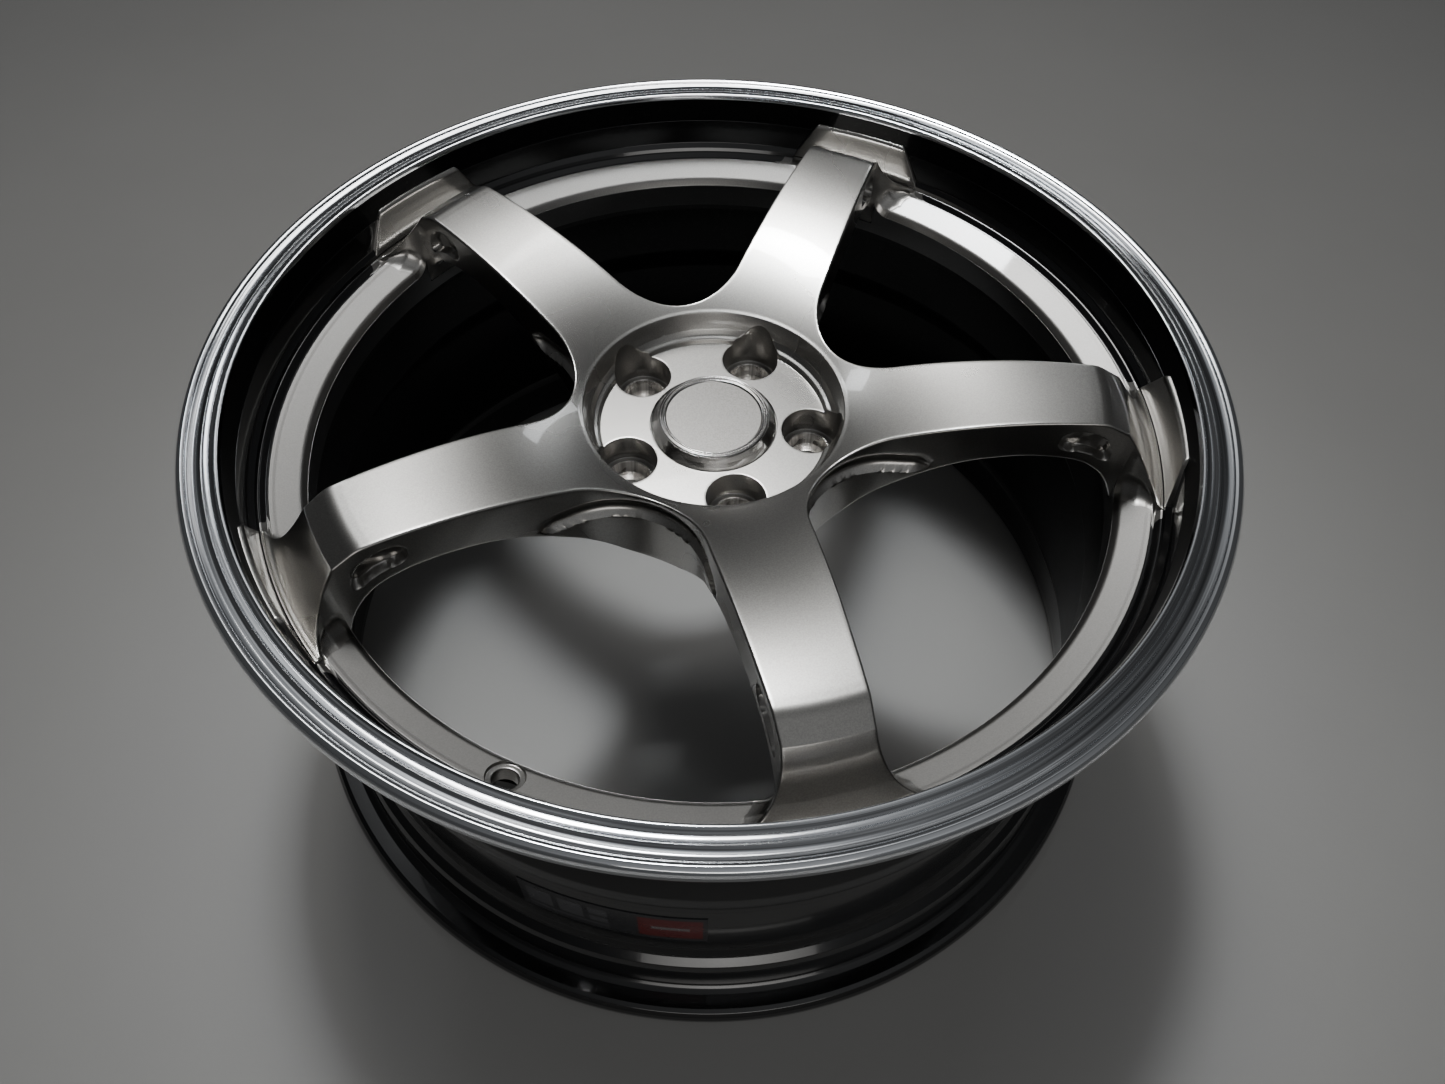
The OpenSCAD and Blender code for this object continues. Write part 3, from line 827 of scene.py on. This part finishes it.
def foil(name):
    """Label foil with plain printed blocks and one red block, and no lettering."""
    m = Paint(name, Coat_Weight=0.3, Coat_Roughness=0.1)
    x, y, z = m.part("X"), m.part("Y"), m.part("Z")
    turn = m.math("ADD", m.math("ARCTAN2", y, x), math.radians(360))
    grain = m.noise(300, 3.0)
    colour = m.mix(grain, (0.012, 0.012, 0.014), (0.03, 0.03, 0.033))
    top = TOP * MM

    def block(first, last, low, high):
        inside = m.math("MULTIPLY", m.math("GREATER_THAN", turn, math.radians(first)),
                        m.math("LESS_THAN", turn, math.radians(last)))
        inside = m.math("MULTIPLY", inside, m.math("GREATER_THAN", z, top - high * MM))
        return m.math("MULTIPLY", inside, m.math("LESS_THAN", z, top - low * MM))

    for first, last, low, high in ((234, 237.4, 143, 162), (238.2, 241.4, 143, 162), (242.2, 244.6, 143, 152),
                                   (242.2, 244.6, 155, 162), (234, 244.6, 165, 167.5)):
        colour = m.mix(block(first, last, low, high), colour, (0.07, 0.07, 0.075))
    colour = m.mix(block(248.4, 256.4, 141, 169), colour, (0.12, 0.006, 0.006))
    colour = m.mix(block(250, 254.8, 153, 157), colour, (0.16, 0.13, 0.13))
    m.to("Base Color", colour)
    m.to("Roughness", m.span(m.noise(60, 3.0), 0.3, 0.7, 0.22, 0.36))
    m.to("Normal", m.bump(m.noise(45, 3.0), 0.15, 0.0006))
    return m.mat


def floor_paint():
    """Light grey concrete."""
    m = Paint("floor_paint")
    m.to("Base Color", m.mix(m.noise(2.2, 6.0, 0.6), (0.33, 0.325, 0.315), (0.4, 0.395, 0.385)))
    m.to("Roughness", m.span(m.noise(5, 4.0), 0.3, 0.7, 0.6, 0.75))
    m.to("Normal", m.bump(m.noise(160, 4.0), 0.08, 0.001))
    return m.mat


SATIN = satin("satin_face", (0.29, 0.281, 0.267), (0.5, 0.485, 0.46), 0.28)
# painted shade: a darker, rougher copy of the face's satin paint for the ring's slope, standing for the
# dimmer light it gets
RING_SHADED_PAINT = satin("ring_painted_shade", (0.19, 0.184, 0.176), (0.28, 0.271, 0.258), 0.46)
CAP_PAINT = satin("cap_paint", (0.12, 0.115, 0.108), (0.26, 0.25, 0.236), 0.36, False)
SKIRT = satin("cap_skirt", (0.08, 0.077, 0.074), (0.15, 0.145, 0.139), 0.24, False)
POLISHED = polished("polished_lip", (0.33, 0.34, 0.355), (0.74, 0.755, 0.78), 800, 0.03, 0.05)
BRIGHT = polished("bright_ring", (0.5, 0.49, 0.48), (0.56, 0.55, 0.54), 300, 0.0, 0.1, False)
BLACK = gloss_black("gloss_black", 0.004, 0.1)
SHADOW = gloss_black("window_black", 0.003, 0.32)
# painted shade: a darker, barely shiny copy of the black paint for the inside of the barrel and the lip's
# inner wall
SHADE_BLACK = gloss_black("painted_shade_black", 0.003, 0.34, 0.08)
BARE = bare("bare_seat")
WIRE = bare("spring_wire")
FOIL = foil("label_foil")


def place(obj, body, slot, material, *nodes):
    """Gives a piece its material and its body, and hides the frame's nodes that it replaces. The slot is not
    used.
    """
    if obj.data.materials:
        obj.data.materials[0] = material
    else:
        obj.data.materials.append(material)
    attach(obj, body)
    if nodes:
        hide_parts(*nodes)
    return obj


def paint_shade_inside(obj, reach):
    """Painted shade: the faces within reach of the axle line that look towards it get a darker, barely shiny
    black, standing for the shade inside the barrel and the dark reflections in the lip's inner wall; the
    barrel's inside is black paint as well.
    """
    obj.data.materials.append(SHADE_BLACK)
    for f in obj.data.polygons:
        r = math.hypot(f.center.x, f.center.y)
        towards = (f.normal.x * f.center.x + f.normal.y * f.center.y) / r
        f.material_index = int(towards < -0.3 and r < reach * MM and f.center.z < (TOP - 3) * MM)


# ---------------------------------------------------------------- pieces of the rim
face = place(forged_face(), "rim", "satin_face", SATIN, "hub_boss", "spoke_1", "spoke_2", "spoke_3",
             "spoke_4", "spoke_5", "window_ring")
for material in (SHADOW, BLACK, RING_SHADED_PAINT):
    face.data.materials.append(material)

LIP = [(227, 19), (227, 16.4, 0.4), (227.25, 15), (228.3, 8), (229, 3.2, 1.2), (229.6, 0.6, 0.7),
       (230.8, 0.35, 0.5), (231.6, 1.0, 0.3), (233.6, 1.15, 0.1), (233.85, 1.5, 0.1), (234.1, 1.15, 0.1),
       (236.2, 1.0, 0.15), (236.55, 1.75, 0.15), (236.95, 1.45, 0.2), (238.6, 1.95, 3), (240.8, 1.95, 3),
       (242.6, 1.45, 0.3), (243.1, 1.25, 0.15), (243.3, 1.5, 0.1), (243.7, 0.5, 0.3), (245.1, 0.0, 1.4),
       (246.9, 0.5, 1.2), (248, 1.9, 1.2), (248.3, 3.9, 1.2), (248.3, 6.8, 1.2), (247.6, 9.6, 1.5),
       (246, 12, 1.5), (243.8, 13, 0.8), (236.6, 13, 2), (234, 13.7, 1.5), (232.4, 15.4, 0.5),
       (230.5, 16.5), (229, 19)]
lip = place(turned("polished_lip", rounded(LIP, 4)), "rim", "polished_lip", POLISHED, "outer_lip")

# painted shade: the lip's inner wall below the top takes the darker, barely shiny black
paint_shade_inside(lip, 228.9)

SEAT = [(227.6, 43.6), (223.6, 35.2), (223.75, 34.9), (224.4, 33.4, 0.3), (226.9, 31.2, 0.8),
        (226.9, 16.2, 0.15), (227.4, 15.9), (230.2, 15.6), (232.3, 15.6, 0.5), (231.7, 18.5, 2),
        (230.2, 33.3, 2), (231.2, 36.4, 1.2), (231.2, 39, 1.2), (229.6, 42, 1.5)]
place(turned("front_bead_seat", rounded(SEAT, 4)), "rim", "gloss_black", BLACK, "outer_bead_seat")
WELL = [(227.6, 43.6), (209, 60.5, 8), (209, 97, 4), (210.6, 99.6, 4), (221.8, 116.8, 5), (223.8, 122, 5),
        (223.8, 128), (219.4, 128), (219.4, 122, 5), (217.6, 117.6, 4), (206, 100.4, 4), (204.4, 97, 3),
        (204, 64, 2), (RING_R, RING_LOW), (206, 60.3), (220, 44)]
well = turned("drop_well_shell", rounded(WELL, 5))
drill = turned("drill", from_height([(0.01, 2), (0.01, -40), (9.5, -40), (9.5, -7), (VALVE_R, -7),
                                     (VALVE_R, 2)]), segments=64)
drill.data.transform(Matrix.Rotation(math.radians(FIRST - HALF), 4, "Z") @ Matrix.Translation(
    (VALVE_AT[0] * MM, 0, (TOP - VALVE_AT[1]) * MM)) @ Matrix.Rotation(-VALVE_TILT, 4, "Y"))
cut(well, drill)
# painted shade on the inward faces of the drop well and the barrel wall
paint_shade_inside(place(well, "rim", "gloss_black", BLACK, "drop_well"), 222)
WALL = [(219.4, 127.8), (223.8, 127.8), (223.8, 190, 5), (225.6, 195, 3), (225.6, 199.8), (221, 199.8),
        (219.4, 194, 8)]
paint_shade_inside(place(turned("barrel_shell", rounded(WALL, 5)), "rim", "gloss_black", BLACK, "barrel_wall"), 222)
REAR = [(221, 199.6), (225.6, 199.6), (229.4, 203, 2), (231.2, 205.6, 1), (231.2, 208, 1),
        (230.2, 210.6, 1.5), (231.7, 223.4, 3), (232.4, 226.8, 1), (234, 228.2, 1.5), (236.6, 228.9, 2),
        (243.8, 228.9, 1), (246, 229.9, 1.5), (247.6, 232.3, 1.5), (248.3, 235.2, 1), (248.3, 238.2, 1),
        (247.2, 240.6, 1), (245, 241.9, 0.8), (232, 241.9, 1.5), (228.8, 241, 1.5), (227, 238.5, 1.5),
        (226.4, 232, 3), (225.8, 212, 3), (223.6, 205, 3)]
place(turned("rear_flange", rounded(REAR, 5)), "rim", "gloss_black", BLACK, "inner_flange")


def seat(i):
    """The steel seat in a nut pocket."""
    a = math.radians(FIRST + STEP * i)
    profile = from_height([(7.5, 10), (7.5, 13, 0.3), (9.6, 16.6, 0.6), (10.7, 22, 0.2), (10.8, 23.2, 0.2),
                           (11.2, 23.6, 0.2), (11.8, 23.2, 0.2), (11.8, 10)])
    obj = turned("nut_seat_%d" % (i + 1), rounded(profile, 3), segments=72)
    obj.data.transform(Matrix.Translation((LUG_R * MM * math.cos(a), LUG_R * MM * math.sin(a), 0)))
    place(obj, "rim", "bare_seat", BARE, "lug_seat_%d" % (i + 1))


for number in range(5):
    seat(number)

# ---------------------------------------------------------------- centre cap
CAP = from_height([(0.01, 41.6), (24.2, 41.6), (27.7, 41.6), (27.75, 42.4, 0.1), (28.0, 42.9, 0.1),
                   (28.4, 43.0, 0.2), (28.9, 42.2, 0.3), (30.1, 40.4, 1), (31.5, 38.6, 1), (32.3, 37.5, 0.3),
                   (32.3, 36), (27.6, 36), (27.6, 38.2, 0.8), (26, 39.6, 0.8), (0.01, 39.6)])
place(turned("cap_body", rounded(CAP, 4), segments=144), "cap", "cap_paint", SKIRT, "cap_shell")
LEG = from_height([(27.6, 36.6), (29.6, 36.6), (29.6, 20.2, 0.6), (29.8, 19.2, 0.4), (29.6, 17.8, 0.6),
                   (28.6, 15.8, 0.5), (27.6, 15.8)])
for number in range(6):
    leg = turned("cap_leg_%d" % (number + 1), rounded(LEG, 4), 60 * number, 24, segments=180)
    place(leg, "cap", "cap_paint", SKIRT)
BEZEL = from_height([(24.3, 41.6), (27.7, 41.6), (27.7, 42.9, 0.2), (27.2, 43.4, 0.35), (26.6, 42.9, 0.2),
                     (26.2, 42.1, 0.15), (25.8, 42.9, 0.2), (25.2, 43.3, 0.35), (24.6, 42.7, 0.2),
                     (24.3, 42.2, 0.1)])
place(turned("cap_ring", rounded(BEZEL, 4), segments=144), "cap", "bright_ring", BRIGHT, "cap_bezel")
for name, material in (("cap_face", CAP_PAINT), ("cap_spring", WIRE), ("barrel_label", FOIL)):
    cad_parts[name].data.materials.clear()
    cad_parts[name].data.materials.append(material)


# ---------------------------------------------------------------- camera
def camera():
    """Looks at the wheel lying face up from the front and above: distance in rim radii, angles in radians."""
    radius, distance, elevation = 0.2483, 2.0659, 0.7777
    pan, tilt, roll = -0.0110, -0.1698, -0.0227
    azimuth = math.radians(-13.6)
    eye = Vector((0, -distance * math.cos(elevation), distance * math.sin(elevation))) * radius
    forward = -eye.normalized()
    right = Vector((1, 0, 0))
    up = right.cross(forward)
    for axis, angle in (("up", pan), ("right", tilt), ("forward", roll)):
        about = {"up": up, "right": right, "forward": forward}[axis]
        m = Matrix.Rotation(angle, 3, about)
        forward, right, up = m @ forward, m @ right, m @ up
    basis = Matrix((right, up, -forward)).transposed()
    spin = Matrix.Rotation(azimuth, 3, "Z")
    data = bpy.data.cameras.new("camera")
    data.sensor_fit, data.sensor_width, data.lens = "HORIZONTAL", 36, 26.124
    data.clip_start, data.clip_end = 0.01, 50
    obj = bpy.data.objects.new("camera", data)
    bpy.context.scene.collection.objects.link(obj)
    obj.matrix_world = (spin @ basis).to_4x4()
    obj.location = spin @ eye + Vector((0, 0, TOP * MM))
    bpy.context.scene.camera = obj


camera()


# ---------------------------------------------------------------- floor and light
def floor():
    """The ground the wheel lies on."""
    mesh = bpy.data.meshes.new("floor")
    mesh.from_pydata([(-6, -6, FLOOR), (6, -6, FLOOR), (6, 6, FLOOR), (-6, 6, FLOOR)], [], [(0, 1, 2, 3)])
    obj = bpy.data.objects.new("floor", mesh)
    bpy.context.scene.collection.objects.link(obj)
    mesh.materials.append(floor_paint())


floor()


def area(name, azimuth, elevation, distance, size, power, colour=(1, 1, 1), spread=180):
    """A softbox that looks at the wheel; angles in degrees, lengths in metres."""
    a, e = math.radians(azimuth), math.radians(elevation)
    back = Vector((math.cos(a) * math.cos(e), math.sin(a) * math.cos(e), math.sin(e)))
    data = bpy.data.lights.new(name, "AREA")
    data.shape, data.size, data.size_y, data.energy, data.color = "RECTANGLE", size[0], size[1], power, colour
    data.spread = math.radians(spread)
    obj = bpy.data.objects.new(name, data)
    bpy.context.scene.collection.objects.link(obj)
    obj.location = back * distance
    obj.rotation_mode = "QUATERNION"
    obj.rotation_quaternion = back.to_track_quat("Z", "Y")
    return obj


area("key_light", 90, 61, 2.6, (0.8, 0.8), 2.2, (1, 0.985, 0.96), 60)
area("patch_light", 89, 66, 2.2, (0.34, 0.28), 0.6, (0.93, 0.97, 1), 24)
area("low_light", 55, 34, 2.6, (0.6, 0.16), 0.14, (0.93, 0.97, 1), 50)
area("left_light", 112, 44, 2.6, (0.22, 0.3), 0.14, (0.93, 0.97, 1), 50)
area("front_light", -98, 20, 2.8, (1.8, 0.8), 1.3, (1, 0.98, 0.95), 60)


def studio(base, glows):
    """A dark room with soft glows: strength, azimuth, elevation, tightness."""
    world = bpy.data.worlds.new("studio")
    bpy.context.scene.world = world
    world.use_nodes = True
    tree = world.node_tree
    way = node(tree, "ShaderNodeTexCoord").outputs["Generated"]
    level = base
    for glow, azimuth, elevation, tight in glows:
        a, e = math.radians(azimuth), math.radians(elevation)
        towards = (math.cos(a) * math.cos(e), math.sin(a) * math.cos(e), math.sin(e))
        dot = node(tree, "ShaderNodeVectorMath", {0: way, 1: towards}, operation="DOT_PRODUCT")
        lobe = node(tree, "ShaderNodeMath", {0: dot.outputs["Value"], 1: 0.0}, operation="MAXIMUM")
        lobe = node(tree, "ShaderNodeMath", {0: lobe.outputs[0], 1: tight}, operation="POWER")
        level = node(tree, "ShaderNodeMath", {0: lobe.outputs[0], 1: glow, 2: level},
                     operation="MULTIPLY_ADD").outputs[0]
    back = tree.nodes["Background"]
    back.inputs[0].default_value = (0.96, 0.98, 1, 1)
    tree.links.new(level, back.inputs[1])


studio(0.045, ((1.8, 91, 60, 40), (0.3, -80, 50, 5)))
